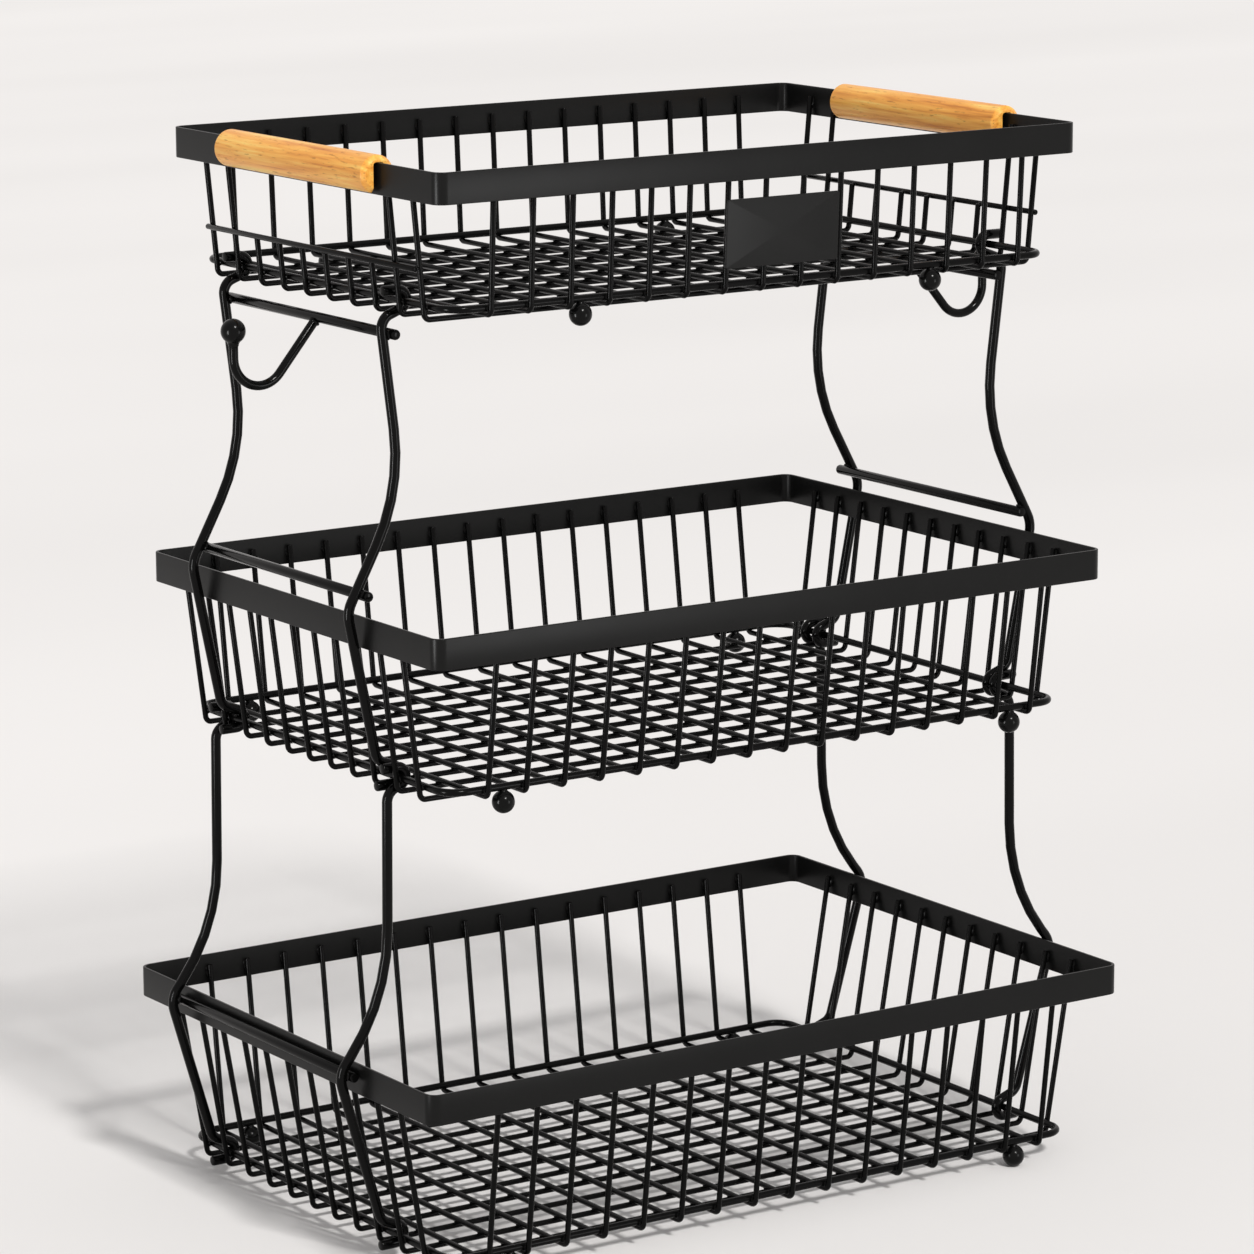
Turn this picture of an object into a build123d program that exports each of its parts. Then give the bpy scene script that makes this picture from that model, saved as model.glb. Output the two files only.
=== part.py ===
"""Three-tier wire produce basket: three tapered wire baskets on four hook-on side frames.

X is the long side, Y the short side, Z is up. The origin is on the table, under the middle of the
bottom basket. All sizes are in millimetres. Wires and balls are drawn with eight flats, as wide across
the flats as the round stock, and their bends as short straight runs.
"""
from build123d import *
import os
from math import acos, atan2, cos, degrees, hypot, radians, sin, tan
from typing import NamedTuple

# Stock that the stand is bent and welded from
flats = 8  # sides of every wire and ball
basket_wire = 2.8  # wire of the walls and floors
ring_wire = 3.6  # ring that each basket stands on
frame_wire = 5.0  # legs and crossbars of the side frames
hook_wire = 4.5  # J hooks for bananas
band_thickness = 1.5  # flat strip of the rims
band_height = 15.0
foot_ball = 11.0  # balls that the baskets stand on
hook_ball = 12.0  # balls on the tips of the J hooks
seat_gap = 0.2  # clearance of what hooks over or slides onto something else


class Tier(NamedTuple):
    """One basket: outer size of its rim, centreline size of its base ring, and its wires."""

    name: str
    rim_length: float
    rim_width: float
    ring_length: float
    ring_width: float
    ring_level: float  # height of the base ring's centreline
    depth: float  # from the base ring's centreline to the top of the rim
    long_pitch: float  # spacing of the wires that run front to back
    long_count: int
    cross_pitch: float  # spacing of the wires that run side to side
    cross_count: int
    cross_shift: float  # of the wires that run side to side, towards the back
    foot_span: float  # distance between the two feet of one long side

    @property
    def rim_top(self):
        return self.ring_level + self.depth


# The stand rests on its lowest balls, and each pair of side frames lifts the next ring
base_level = foot_ball + ring_wire / 2
lower_rise = 224.2
upper_rise = 225.3
middle_level = base_level + lower_rise
top_level = middle_level + upper_rise

bottom = Tier("bottom", 409.0, 282.0, 368.0, 248.5, base_level, 88.1, 22.0, 16, 21.1, 11, 0.0, 302.0)
middle = Tier("middle", 390.0, 270.0, 359.0, 238.0, middle_level, 77.8, 21.3, 16, 20.4, 11, 3.4, 298.6)
top = Tier("top", 369.0, 248.0, 345.0, 229.0, top_level, 64.9, 21.8, 15, 21.4, 10, 0.0, 203.0)
tiers = (bottom, middle, top)

rim_corner = 6.0  # outer corner radius of the rims
ring_corner = 11.0  # centreline corner radius of the base rings
wire_end_drop = 5.0  # the wall wires stop this far below the top of the rim
wire_bend = 3.2  # between wall and floor, round the ring

# Top basket: hand openings, wooden handles and blank name plate
open_wires = 6  # middle side wires that stop at the low side rail
side_rail_height = 18.3  # side rail above the base ring
side_rail_overhang = 3.0  # past the outermost side wires
handle_diameter = 18.0
handle_length = 162.0
handle_lift = 2.0  # handle centre above the middle of the rim
handle_end_bevel = 3.0
notch_gap = 0.8  # room round the two side wires that each handle straddles
plate_length = 65.0
plate_height = 33.0
plate_thickness = 1.0
plate_offset = 9.0  # to the right of the middle
plate_centre_height = 24.8  # above the base ring
plate_corner = 1.0

# Side frames; knees and waists are given by the corners that their bends round off
upper_front_y = 67.9  # legs of the upper frames, in front of and behind the middle
upper_back_y = 80.2
lower_front_y = 73.3
lower_back_y = 90.6
hook_slope = 20.0  # slope of the run onto a ring, in degrees
stub = 8.5  # straight end of each hook, past the ring
foot_run = 10.0  # sloped run from a lower hook to the leg's first bend
leg_bend = 7.0

upper_knee_out = 7.2  # outside the middle rim
upper_knee_rise = 2.7  # above the middle rim
upper_knee_bend = 14.0
upper_lean = 28.7  # lean above the knee, in degrees
upper_waist_rise = 55.4  # from the knee to the waist
upper_waist_bend = 90.0
upper_head_run = 11.8  # sloped run from the leg's last bend to the upper hook
knee_bar_rise = 12.0  # where the knee crossbar meets the leg, above the middle rim
top_bar_drop = 16.4  # where the top crossbar meets the leg, below the top basket's ring
inner_bar_overhang = 4.5  # past the middle of each leg

lower_knee_out = 9.4  # outside the bottom rim
lower_knee_drop = 4.6  # below the top of the bottom rim
lower_knee_bend = 12.0
lower_lean = 39.0
lower_waist_rise = 34.0
lower_waist_bend = 96.0
lower_head_run = 7.7
rim_bar_overhang = 4.0

# J hooks, measured from the centre of the top crossbar
jhook_reach = 45.8  # out to the upright tip
jhook_drop = 54.4  # down to the corner that the bend rounds off
jhook_bend = 14.0
jhook_ball_drop = 2.9

# Runs that a bend is drawn with
loop_runs = 6
ring_corner_runs = 3
bend_runs = 2
waist_runs = 3
jhook_runs = 5

basket_r = basket_wire / 2
ring_r = ring_wire / 2
frame_r = frame_wire / 2
hook_r = hook_wire / 2
half_flat = 180.0 / flats
ring_reach = ring_r / cos(radians(half_flat))  # middle of the ring's wire to its edges
wrap = ring_reach + basket_r  # middle of a wall wire to the middle of the ring it passes
loop_r = ring_reach + frame_r + seat_gap  # a hook's middle line round a ring


def export(piece, name):
    """Label a finished piece and write it as its own STEP file."""
    piece.part.label = name
    export_step(piece.part, f"parts/{name}.step")


def side_plane(side, y=0.0):
    """Upright plane across the stand at y; its local x points outward on that side, +1 or -1."""
    return Plane(origin=(0, y, 0), x_dir=(side, 0, 0), z_dir=(0, -side, 0))


def bent_wire(plane, points, radius):
    """A wire with flats, swept along straight runs on a plane and mitred at each corner."""
    start = plane.from_local_coords(points[0])
    onward = plane.from_local_coords(points[1]) - start
    with BuildPart() as wire:
        with BuildLine(plane) as path:
            Polyline(*points)
        with BuildSketch(Plane(origin=start, x_dir=plane.z_dir, z_dir=onward)):
            RegularPolygon(radius, flats, major_radius=False, rotation=half_flat)
        sweep(path=path.line, transition=Transition.RIGHT)
    return wire.part


def straight_bar(plane, centre, radius, length, turn=0.0):
    """A straight wire square to a plane, centred on it, its flats turned to what it is welded to."""
    with BuildPart() as bar:
        with BuildSketch(plane):
            with Locations(centre):
                RegularPolygon(radius, flats, major_radius=False, rotation=half_flat + turn)
        extrude(amount=length / 2, both=True)
    return bar.part


def ball(centre, diameter):
    """A ball with flats: an upright prism whose rims are bevelled until all its flats lie alike."""
    bevel = (1 - tan(radians(half_flat))) * diameter / 2
    with BuildPart() as solid:
        with BuildSketch(Plane(origin=centre)):
            RegularPolygon(diameter / 2, flats, major_radius=False, rotation=half_flat)
        extrude(amount=diameter / 2, both=True)
        chamfer(solid.faces().filter_by(Axis.Z).edges(), bevel)
    return solid.part


def bend_frame(before, corner, after, bend):
    """Centre of the arc that rounds off a corner, the direction to it, and the signed turn."""
    towards = (Vector(*before) - Vector(*corner)).normalized()
    away = (Vector(*after) - Vector(*corner)).normalized()
    inward = (towards + away).normalized()
    half_angle = acos(towards.dot(away)) / 2
    centre = Vector(*corner) + inward * (bend / sin(half_angle))
    left_turn = away.cross(towards).Z > 0
    turn = (180 - 2 * degrees(half_angle)) * (1 if left_turn else -1)
    return centre, inward, turn


def arc_corners(centre, outward, turn, bend, runs):
    """Corners of straight runs that touch an arc, spread evenly about its middle direction."""
    step = turn / runs
    reach = bend / cos(radians(step / 2))
    angles = [step * (index + 0.5 - runs / 2) for index in range(runs)]
    return [tuple(centre + outward.rotate(Axis.Z, angle) * reach)[:2] for angle in angles]


def bend_corners(before, corner, after, bend, runs):
    """The corners that replace one corner of a path when it is bent to a radius."""
    centre, inward, turn = bend_frame(before, corner, after, bend)
    return arc_corners(centre, inward * -1, turn, bend, runs)


def wall_tilt(half_rim, half_ring, rise):
    """Tilt from upright of a wire that passes the ring and meets the rim's inner face."""
    run = half_rim - band_thickness - basket_r - half_ring
    return acos(wrap / hypot(run, rise)) - atan2(rise, run)


def wall_offset(half_ring, tilt, height):
    """Distance from the middle plane to a wall wire's middle, at a height above the ring."""
    return half_ring + wrap / cos(tilt) + height * tan(tilt)


def u_wire(plane, half_ring, tilt, ring_level, floor_level, end_rise):
    """One U-shaped wire: down a wall, under the ring, across the floor and up the other wall."""
    foot = wall_offset(half_ring, tilt, floor_level - ring_level)
    head = wall_offset(half_ring, tilt, end_rise)
    left_end, right_end = (-head, ring_level + end_rise), (head, ring_level + end_rise)
    left_foot, right_foot = (-foot, floor_level), (foot, floor_level)
    points = (
        left_end,
        *bend_corners(left_end, left_foot, right_foot, wire_bend, bend_runs),
        *bend_corners(left_foot, right_foot, right_end, wire_bend, bend_runs),
        right_end,
    )
    return bent_wire(plane, points, basket_r)


def cross_tilt(tier):
    """Tilt of the walls on the short sides."""
    return wall_tilt(tier.rim_length / 2, tier.ring_length / 2, tier.depth - wire_end_drop)


def long_tilt(tier):
    """Tilt of the walls on the long sides."""
    return wall_tilt(tier.rim_width / 2, tier.ring_width / 2, tier.depth - wire_end_drop)


os.makedirs("parts", exist_ok=True)

# ---------------------------------------------------------------- baskets
for tier in tiers:
    end_rise = tier.depth - wire_end_drop
    long_floor = tier.ring_level - ring_r - basket_r
    cross_floor = long_floor - basket_wire

    # Rim: a flat strip bent to a rectangle and standing on edge
    with BuildPart() as rim:
        with BuildSketch(Plane.XY.offset(tier.rim_top - band_height)):
            RectangleRounded(tier.rim_length, tier.rim_width, rim_corner)
            offset(amount=-band_thickness, mode=Mode.SUBTRACT)
        extrude(amount=band_height)
    export(rim, f"{tier.name}_rim")

    # Base ring: one wire bent to a rectangle, which the wall wires pass on the outside
    half_x = tier.ring_length / 2
    half_y = tier.ring_width / 2
    corners = [(half_x, -half_y), (half_x, half_y), (-half_x, half_y), (-half_x, -half_y)]
    ring_path = [(0, -half_y)]
    for index, corner in enumerate(corners):
        before = corners[index - 1]
        after = corners[(index + 1) % len(corners)]
        ring_path += bend_corners(before, corner, after, ring_corner, ring_corner_runs)
    with BuildPart() as base_ring:
        add(bent_wire(Plane.XY.offset(tier.ring_level), ring_path + ring_path[:1], ring_r))
    export(base_ring, f"{tier.name}_base_ring")

    # Wires from front to back, the upper layer of the floor
    long_wire = u_wire(Plane.YZ, half_y, long_tilt(tier), tier.ring_level, long_floor, end_rise)
    with BuildPart() as long_wires:
        with GridLocations(tier.long_pitch, tier.long_pitch, tier.long_count, 1):
            add(long_wire)
    export(long_wires, f"{tier.name}_long_wires")

    # Wires from side to side, the lower layer; at the hand openings they stop at the side rail
    whole_wire = u_wire(Plane.XZ, half_x, cross_tilt(tier), tier.ring_level, cross_floor, end_rise)
    short_rise = side_rail_height + basket_r
    short_wire = u_wire(Plane.XZ, half_x, cross_tilt(tier), tier.ring_level, cross_floor, short_rise)
    with BuildPart() as cross_wires:
        for index in range(tier.cross_count):
            place = index - (tier.cross_count - 1) / 2
            at_opening = tier is top and abs(place) < open_wires / 2
            with Locations((0, place * tier.cross_pitch + tier.cross_shift, 0)):
                add(short_wire if at_opening else whole_wire)
    export(cross_wires, f"{tier.name}_cross_wires")

    # Feet: four balls welded under the long rails of the ring
    foot = ball((0, 0, tier.ring_level - ring_r - foot_ball / 2), foot_ball)
    with BuildPart() as feet:
        with GridLocations(tier.foot_span, tier.ring_width, 2, 2):
            add(foot)
    export(feet, f"{tier.name}_feet")

# ---------------------------------------------------------------- fittings of the top basket
tilt = cross_tilt(top)
rail_centre = (
    wall_offset(top.ring_length / 2, tilt, side_rail_height) + basket_wire * cos(tilt),
    top.ring_level + side_rail_height - basket_wire * sin(tilt),
)
rail_length = (top.cross_count - 1) * top.cross_pitch + basket_wire + 2 * side_rail_overhang
handle_x = (top.rim_length - band_thickness) / 2
handle_z = top.rim_top - band_height / 2 + handle_lift
slot_width = band_thickness + 2 * seat_gap
slot_top = top.rim_top + seat_gap
notch_y = (open_wires + 1) / 2 * top.cross_pitch
notch_depth = basket_wire + handle_diameter * tan(tilt) + notch_gap
notch_top = top.rim_top - wire_end_drop + notch_gap

for side, hand in ((-1, "left"), (1, "right")):
    # Side rail: a straight wire outside the side wires, at the foot of the hand opening
    with BuildPart() as side_rail:
        add(straight_bar(side_plane(side), rail_centre, basket_r, rail_length, -degrees(tilt)))
    export(side_rail, f"top_side_rail_{hand}")

    # Handle: a round wooden bar slotted over the rim, and notched for the two wires it straddles
    with BuildPart() as handle:
        with BuildSketch(side_plane(side)):
            with Locations((handle_x, handle_z)):
                Circle(handle_diameter / 2)
        extrude(amount=handle_length / 2, both=True)
        chamfer(handle.edges().filter_by(GeomType.CIRCLE), handle_end_bevel)
        with BuildSketch(side_plane(side)):
            with Locations((handle_x, slot_top)):
                Rectangle(slot_width, handle_diameter, align=(Align.CENTER, Align.MAX))
        extrude(amount=handle_length / 2, both=True, mode=Mode.SUBTRACT)
        for end in (-1, 1):
            with BuildSketch(side_plane(side, end * notch_y)):
                with Locations((handle_x, notch_top)):
                    Rectangle(notch_depth, handle_diameter, align=(Align.MAX, Align.MAX))
            extrude(amount=basket_r + notch_gap, both=True, mode=Mode.SUBTRACT)
    export(handle, f"wooden_handle_{hand}")

# Name plate: a blank sheet welded on the front wires
tilt = long_tilt(top)
plate_y = wall_offset(top.ring_width / 2, tilt, plate_centre_height)
plate_plane = Plane(
    origin=(plate_offset, -plate_y, top.ring_level + plate_centre_height),
    x_dir=(1, 0, 0),
    z_dir=(0, -cos(tilt), -sin(tilt)),
)
with BuildPart() as name_plate:
    with BuildSketch(plate_plane.offset(basket_r)):
        RectangleRounded(plate_length, plate_height, plate_corner)
    extrude(amount=plate_thickness)
export(name_plate, "name_plate")


# ---------------------------------------------------------------- side frames
def sloped_run(tier, up, run):
    """Ends of the run that meets the loop round a ring, above it or below it: at the loop, away."""
    slope = radians(hook_slope)
    at_loop = (tier.ring_length / 2 - loop_r * sin(slope), tier.ring_level + up * loop_r * cos(slope))
    return at_loop, (at_loop[0] + run * cos(slope), at_loop[1] + up * run * sin(slope))


def loop_corners(tier, up):
    """Corners of a hook's loop round the inner side of a ring, from below to above."""
    centre = Vector(tier.ring_length / 2, tier.ring_level)
    inward = Vector(-1, 0).rotate(Axis.Z, up * hook_slope / 2)
    return arc_corners(centre, inward, hook_slope - 180, loop_r, loop_runs)


def leg_path(low, high, knee, waist, foot_length, head_length, knee_bend, waist_bend):
    """One leg: hook under the low ring, up outside the basket, knee, waist, hook over the high ring."""
    foot, ankle = sloped_run(low, 1, foot_length)
    head, shoulder = sloped_run(high, -1, head_length)
    low_tail = (low.ring_length / 2 + stub, low.ring_level - loop_r)
    high_tail = (high.ring_length / 2 + stub, high.ring_level + loop_r)
    return [
        low_tail,
        *loop_corners(low, 1),
        *bend_corners(foot, ankle, knee, leg_bend, bend_runs),
        *bend_corners(ankle, knee, waist, knee_bend, bend_runs),
        *bend_corners(knee, waist, shoulder, waist_bend, waist_runs),
        *bend_corners(waist, shoulder, head, leg_bend, bend_runs),
        *loop_corners(high, -1),
        high_tail,
    ]


def bar_beside(start, end, height):
    """Centre of a crossbar on the inner side of a leg's straight run, met at a height, and its turn."""
    lean = atan2(end[0] - start[0], end[1] - start[1])
    meet_x = start[0] + (height - start[1]) * tan(lean)
    return (meet_x - frame_wire * cos(lean), height + frame_wire * sin(lean)), -degrees(lean)


def bar_in_bend(before, corner, after, bend):
    """Centre of a crossbar inside the middle of a leg's bend, and its turn."""
    centre, inward, _ = bend_frame(before, corner, after, bend)
    middle_of_bar = centre - inward * (bend - frame_wire)
    return (middle_of_bar.X, middle_of_bar.Y), degrees(atan2(-inward.Y, -inward.X))


upper_knee = (middle.rim_length / 2 + upper_knee_out, middle.rim_top + upper_knee_rise)
upper_waist = (
    upper_knee[0] - upper_waist_rise * tan(radians(upper_lean)),
    upper_knee[1] + upper_waist_rise,
)
lower_knee = (bottom.rim_length / 2 + lower_knee_out, bottom.rim_top - lower_knee_drop)
lower_waist = (
    lower_knee[0] - lower_waist_rise * tan(radians(lower_lean)),
    lower_knee[1] + lower_waist_rise,
)
upper_path = leg_path(
    middle, top, upper_knee, upper_waist, foot_run, upper_head_run, upper_knee_bend, upper_waist_bend
)
lower_path = leg_path(
    bottom, middle, lower_knee, lower_waist, foot_run, lower_head_run, lower_knee_bend, lower_waist_bend
)
upper_shoulder = sloped_run(top, -1, upper_head_run)[1]
lower_ankle = sloped_run(bottom, 1, foot_run)[1]
knee_bar = bar_beside(upper_knee, upper_waist, middle.rim_top + knee_bar_rise)
top_bar = bar_beside(upper_waist, upper_shoulder, top.ring_level - top_bar_drop)
rim_bar = bar_in_bend(lower_ankle, lower_knee, lower_waist, lower_knee_bend)

bars = (
    ("lower", "crossbar", rim_bar, rim_bar_overhang),
    ("upper", "knee_crossbar", knee_bar, inner_bar_overhang),
    ("upper", "top_crossbar", top_bar, inner_bar_overhang),
)
leg_places = {
    "lower": (("front", -lower_front_y), ("back", lower_back_y)),
    "upper": (("front", -upper_front_y), ("back", upper_back_y)),
}

# J hook: from the top crossbar down, out and up to its ball
bar_x, bar_z = top_bar[0]
jhook_angle = atan2(jhook_drop, jhook_reach)
jhook_start = (bar_x + frame_r * cos(jhook_angle), bar_z - frame_r * sin(jhook_angle))
jhook_corner = (bar_x + jhook_reach, bar_z - jhook_drop)
ball_centre = (bar_x + jhook_reach, bar_z - jhook_ball_drop)
jhook_end = (ball_centre[0], ball_centre[1] - hook_ball / 2)
jhook_path = [
    jhook_start,
    *bend_corners(jhook_start, jhook_corner, jhook_end, jhook_bend, jhook_runs),
    jhook_end,
]

for side, hand in ((-1, "left"), (1, "right")):
    for level, path in (("lower", lower_path), ("upper", upper_path)):
        for end, leg_y in leg_places[level]:
            with BuildPart() as leg:
                add(bent_wire(side_plane(side, leg_y), path, frame_r))
            export(leg, f"{level}_{hand}_{end}_leg")

    for level, name, (centre, turn), overhang in bars:
        (_, front_y), (_, back_y) = leg_places[level]
        length = back_y - front_y + 2 * overhang
        with BuildPart() as bar:
            add(straight_bar(side_plane(side, (front_y + back_y) / 2), centre, frame_r, length, turn))
        export(bar, f"{level}_{hand}_{name}")

    with BuildPart() as banana_hook:
        add(bent_wire(side_plane(side), jhook_path, hook_r))
    export(banana_hook, f"banana_hook_{hand}")

    with BuildPart() as tip_ball:
        add(ball((side * ball_centre[0], 0, ball_centre[1]), hook_ball))
    export(tip_ball, f"banana_hook_ball_{hand}")
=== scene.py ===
"""Wire produce basket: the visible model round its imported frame.

Shapes are worked out in millimetres and go into their meshes in metres. X is the long side, Y the short
side with the name plate facing -Y, Z is up from the table.
"""

import bmesh
import bpy
import numpy as np
from mathutils import Matrix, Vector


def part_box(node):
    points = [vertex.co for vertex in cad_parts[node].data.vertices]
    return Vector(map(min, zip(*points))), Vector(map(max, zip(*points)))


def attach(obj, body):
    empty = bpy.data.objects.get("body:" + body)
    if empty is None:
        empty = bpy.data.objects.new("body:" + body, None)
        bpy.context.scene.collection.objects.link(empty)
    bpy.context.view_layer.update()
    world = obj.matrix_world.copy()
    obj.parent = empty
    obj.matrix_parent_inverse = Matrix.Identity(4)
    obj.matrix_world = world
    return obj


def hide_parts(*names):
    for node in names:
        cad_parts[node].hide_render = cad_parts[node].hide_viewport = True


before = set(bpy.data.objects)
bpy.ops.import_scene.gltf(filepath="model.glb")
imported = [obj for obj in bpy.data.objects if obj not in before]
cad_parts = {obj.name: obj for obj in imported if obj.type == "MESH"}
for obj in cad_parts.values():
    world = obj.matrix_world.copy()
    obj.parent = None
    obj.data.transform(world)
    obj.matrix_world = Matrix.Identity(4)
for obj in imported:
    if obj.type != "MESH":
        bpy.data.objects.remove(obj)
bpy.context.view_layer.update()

# ---------------------------------------------------------------- base rings
# Each basket stands on a ring of 3.6 mm steel wire, bent to a rectangle and butt welded. All the metal is
# powder coated satin black after welding, so welds and wires share one skin of paint.
mm = 0.001  # in metres
tiers = ("bottom", "middle", "top")
ring_wire = 3.6
ring_corner = 11.0
ring_sides = 18  # points round the wire
cut_ease = 0.3  # a cut wire's edge is rounded by this share of its radius
arc_step = 7.5  # degrees between the points of a bend
arc_least = 3  # steps in a short bend
crease = 40.0  # faces that meet at more than this many degrees keep a sharp edge


def measured(node):
    """Lowest and highest corner of a node of the frame, in millimetres."""
    return np.array(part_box(node)) / mm


def unit(vectors):
    """Each vector divided by its length."""
    return vectors / np.linalg.norm(vectors, axis=-1, keepdims=True)


def arc(centre, radius, start, turn):
    """Points of an arc: centre + radius * (cos a, sin a), with a from start over the turn, in degrees."""
    steps = max(arc_least, round(abs(turn) / arc_step))
    angle = np.radians(start + turn * np.linspace(0.0, 1.0, steps + 1))
    return np.asarray(centre) + radius * np.stack([np.cos(angle), np.sin(angle)], axis=1)


def bent_line(corners, bends):
    """The middle line of a bent wire: straight runs, with an arc that touches both at each corner.

    An arc's centre lies bend / sin(h) from the corner, midway between the runs, where h is half the angle
    between them, and its ends lie bend / tan(h) along the runs. A bend of 0 leaves the point as it is.
    """
    corners = np.asarray(corners, float)
    back = unit(np.roll(corners, 1, axis=0) - corners)
    onward = unit(np.roll(corners, -1, axis=0) - corners)
    parts = []
    for corner, towards, away, bend in zip(corners, back, onward, bends):
        if not bend:
            parts.append(corner[None])
            continue
        half = np.arccos(towards @ away) / 2
        centre = corner + unit(towards + away) * bend / np.sin(half)
        start = corner + towards * bend / np.tan(half) - centre
        side = np.sign(away[0] * towards[1] - away[1] * towards[0])
        turn = side * (180.0 - 2 * np.degrees(half))
        parts.append(arc(centre, bend, np.degrees(np.arctan2(start[1], start[0])), turn))
    return np.concatenate(parts)


def placed(line, origin, across, up):
    """A flat line set in space: origin + u * across + v * up."""
    return np.asarray(origin) + line[:, :1] * np.asarray(across) + line[:, 1:] * np.asarray(up)


class Skin:
    """Points of a closed surface in millimetres, and its faces of four and of three points."""

    def __init__(self, points, quads, triangles):
        self.points = points
        self.quads = quads
        self.triangles = triangles

    def __add__(self, other):
        shift = len(self.points)
        return Skin(
            np.concatenate([self.points, other.points]),
            np.concatenate([self.quads, other.quads + shift]),
            np.concatenate([self.triangles, other.triangles + shift]),
        )

    def repeated(self, places):
        """A copy of the surface at each place: point + place."""
        places = np.asarray(places, float)
        shift = len(self.points) * np.arange(len(places))[:, None, None]
        return Skin(
            (self.points + places[:, None]).reshape(-1, 3),
            (self.quads + shift).reshape(-1, 4),
            (self.triangles + shift).reshape(-1, 3),
        )

    def half_turned(self):
        """The same surface on the other side of the stand: (-x, -y, z)."""
        return Skin(self.points * (-1.0, -1.0, 1.0), self.quads, self.triangles)


def through_rings(rings, poles=None):
    """The surface through a row of closed rings, whose points run round to the left of the row's course.

    Without poles the last ring joins the first. With two poles each end of the row closes on its own, and
    with an empty row of poles the ends stay as they are.
    """
    count, around = rings.shape[:2]
    here = np.arange(count * around).reshape(count, around)
    beside = np.roll(here, -1, axis=1)
    quads = np.stack([here, beside, np.roll(beside, -1, axis=0), np.roll(here, -1, axis=0)], axis=-1)
    points = rings.reshape(-1, 3)
    if poles is None:
        return Skin(points, quads.reshape(-1, 4), np.empty((0, 3), int))
    if not len(poles):
        return Skin(points, quads[:-1].reshape(-1, 4), np.empty((0, 3), int))
    first = np.full(around, count * around)
    start = np.stack([first, beside[0], here[0]], axis=-1)
    end = np.stack([first + 1, here[-1], beside[-1]], axis=-1)
    return Skin(np.concatenate([points, poles]), quads[:-1].reshape(-1, 4), np.concatenate([start, end]))


def round_wire(line, radius, normal, sides, closed=False):
    """A round wire along a flat line: point + radius * (cos a * across + sin a * normal).

    across is normal x course. A cut end is eased by a quarter circle and closes on a pole.
    """
    onward = unit(np.roll(line, -1, axis=0) - line)
    if not closed:
        onward[-1] = onward[-2]
    back = np.roll(onward, 1, axis=0)
    if not closed:
        back[0] = onward[0]
    course = unit(onward + back)
    widths = np.full(len(line), radius)
    poles = None
    if not closed:
        poles = line[[0, -1]]
        quarter = np.radians([90.0, 45.0, 0.0])
        inset = cut_ease * radius * (1 - np.sin(quarter))[:, None]
        eased = radius - cut_ease * radius * (1 - np.cos(quarter))
        head = line[0] + inset * course[0]
        tail = line[-1] - inset[::-1] * course[-1]
        line = np.concatenate([head, line[1:-1], tail])
        course = np.concatenate([course[[0, 0]], course, course[[-1, -1]]])
        widths = np.concatenate([eased, widths[1:-1], eased[::-1]])
    angle = 2 * np.pi * np.arange(sides) / sides
    across = np.cross(normal, course)
    spokes = np.cos(angle)[:, None] * across[:, None] + np.sin(angle)[:, None] * np.asarray(normal)
    return through_rings(line[:, None] + widths[:, None, None] * spokes, poles)


class Shade:
    """An output in a material's node tree. Sums, differences and products add Math nodes."""

    def __init__(self, tree, socket=None):
        self.tree = tree
        self.socket = socket

    def node(self, kind, settings, inputs, output=0):
        """Adds a node: its settings first, among them a ramp's stops, then its sockets' values or links."""
        made = self.tree.nodes.new(kind)
        for name, value in settings.items():
            if name == "stops":
                ramp = made.color_ramp.elements
                for _ in range(len(value) - len(ramp)):
                    ramp.new(0.5)
                for stop, (place, colour) in zip(ramp, value):
                    stop.position = place
                    stop.color = (*colour, 1.0)
            else:
                setattr(made, name, value)
        for name, value in inputs.items():
            if isinstance(value, Shade):
                self.tree.links.new(value.socket, made.inputs[name])
            else:
                made.inputs[name].default_value = value
        return Shade(self.tree, made.outputs[output] if len(made.outputs) else None)

    def sum_of(self, operation, first, second):
        """A Math node on two numbers or shades."""
        return self.node("ShaderNodeMath", {"operation": operation}, {0: first, 1: second})

    def __add__(self, other):
        return self.sum_of("ADD", self, other)

    def __radd__(self, other):
        return self.sum_of("ADD", other, self)

    def __sub__(self, other):
        return self.sum_of("SUBTRACT", self, other)

    def __rsub__(self, other):
        return self.sum_of("SUBTRACT", other, self)

    def __mul__(self, other):
        return self.sum_of("MULTIPLY", self, other)

    def __rmul__(self, other):
        return self.sum_of("MULTIPLY", other, self)


def blank_material(name):
    """A material with an empty node tree, and the shade that starts it."""
    material = bpy.data.materials.new(name)
    material.use_nodes = True
    material.node_tree.nodes.clear()
    return material, Shade(material.node_tree)


def noise(start, place, scale, detail, roughness=0.5):
    """Smooth random values from 0 to 1, with as many bumps to the metre as scale says."""
    return start.node(
        "ShaderNodeTexNoise", {}, {"Vector": place, "Scale": scale, "Detail": detail, "Roughness": roughness}
    )


def between(start, factor, low, high):
    """The colour low where factor is 0 and high where it is 1."""
    return start.node(
        "ShaderNodeMix",
        {"data_type": "RGBA"},
        {0: factor, 6: (*low, 1.0) if isinstance(low, tuple) else low, 7: (*high, 1.0)},
        output=2,
    )


drift_pace = 26.0  # bumps to the metre of the coat's slow drift in tone
grit_pace = 1700.0  # of its specks
peel_pace = 900.0  # of its orange peel
wave_pace = 45.0  # of the waviness of the steel beneath
wave_height = 0.6
thin_spots = (0.62, 0.72)  # a speck fades in between these values of the grit


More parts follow.
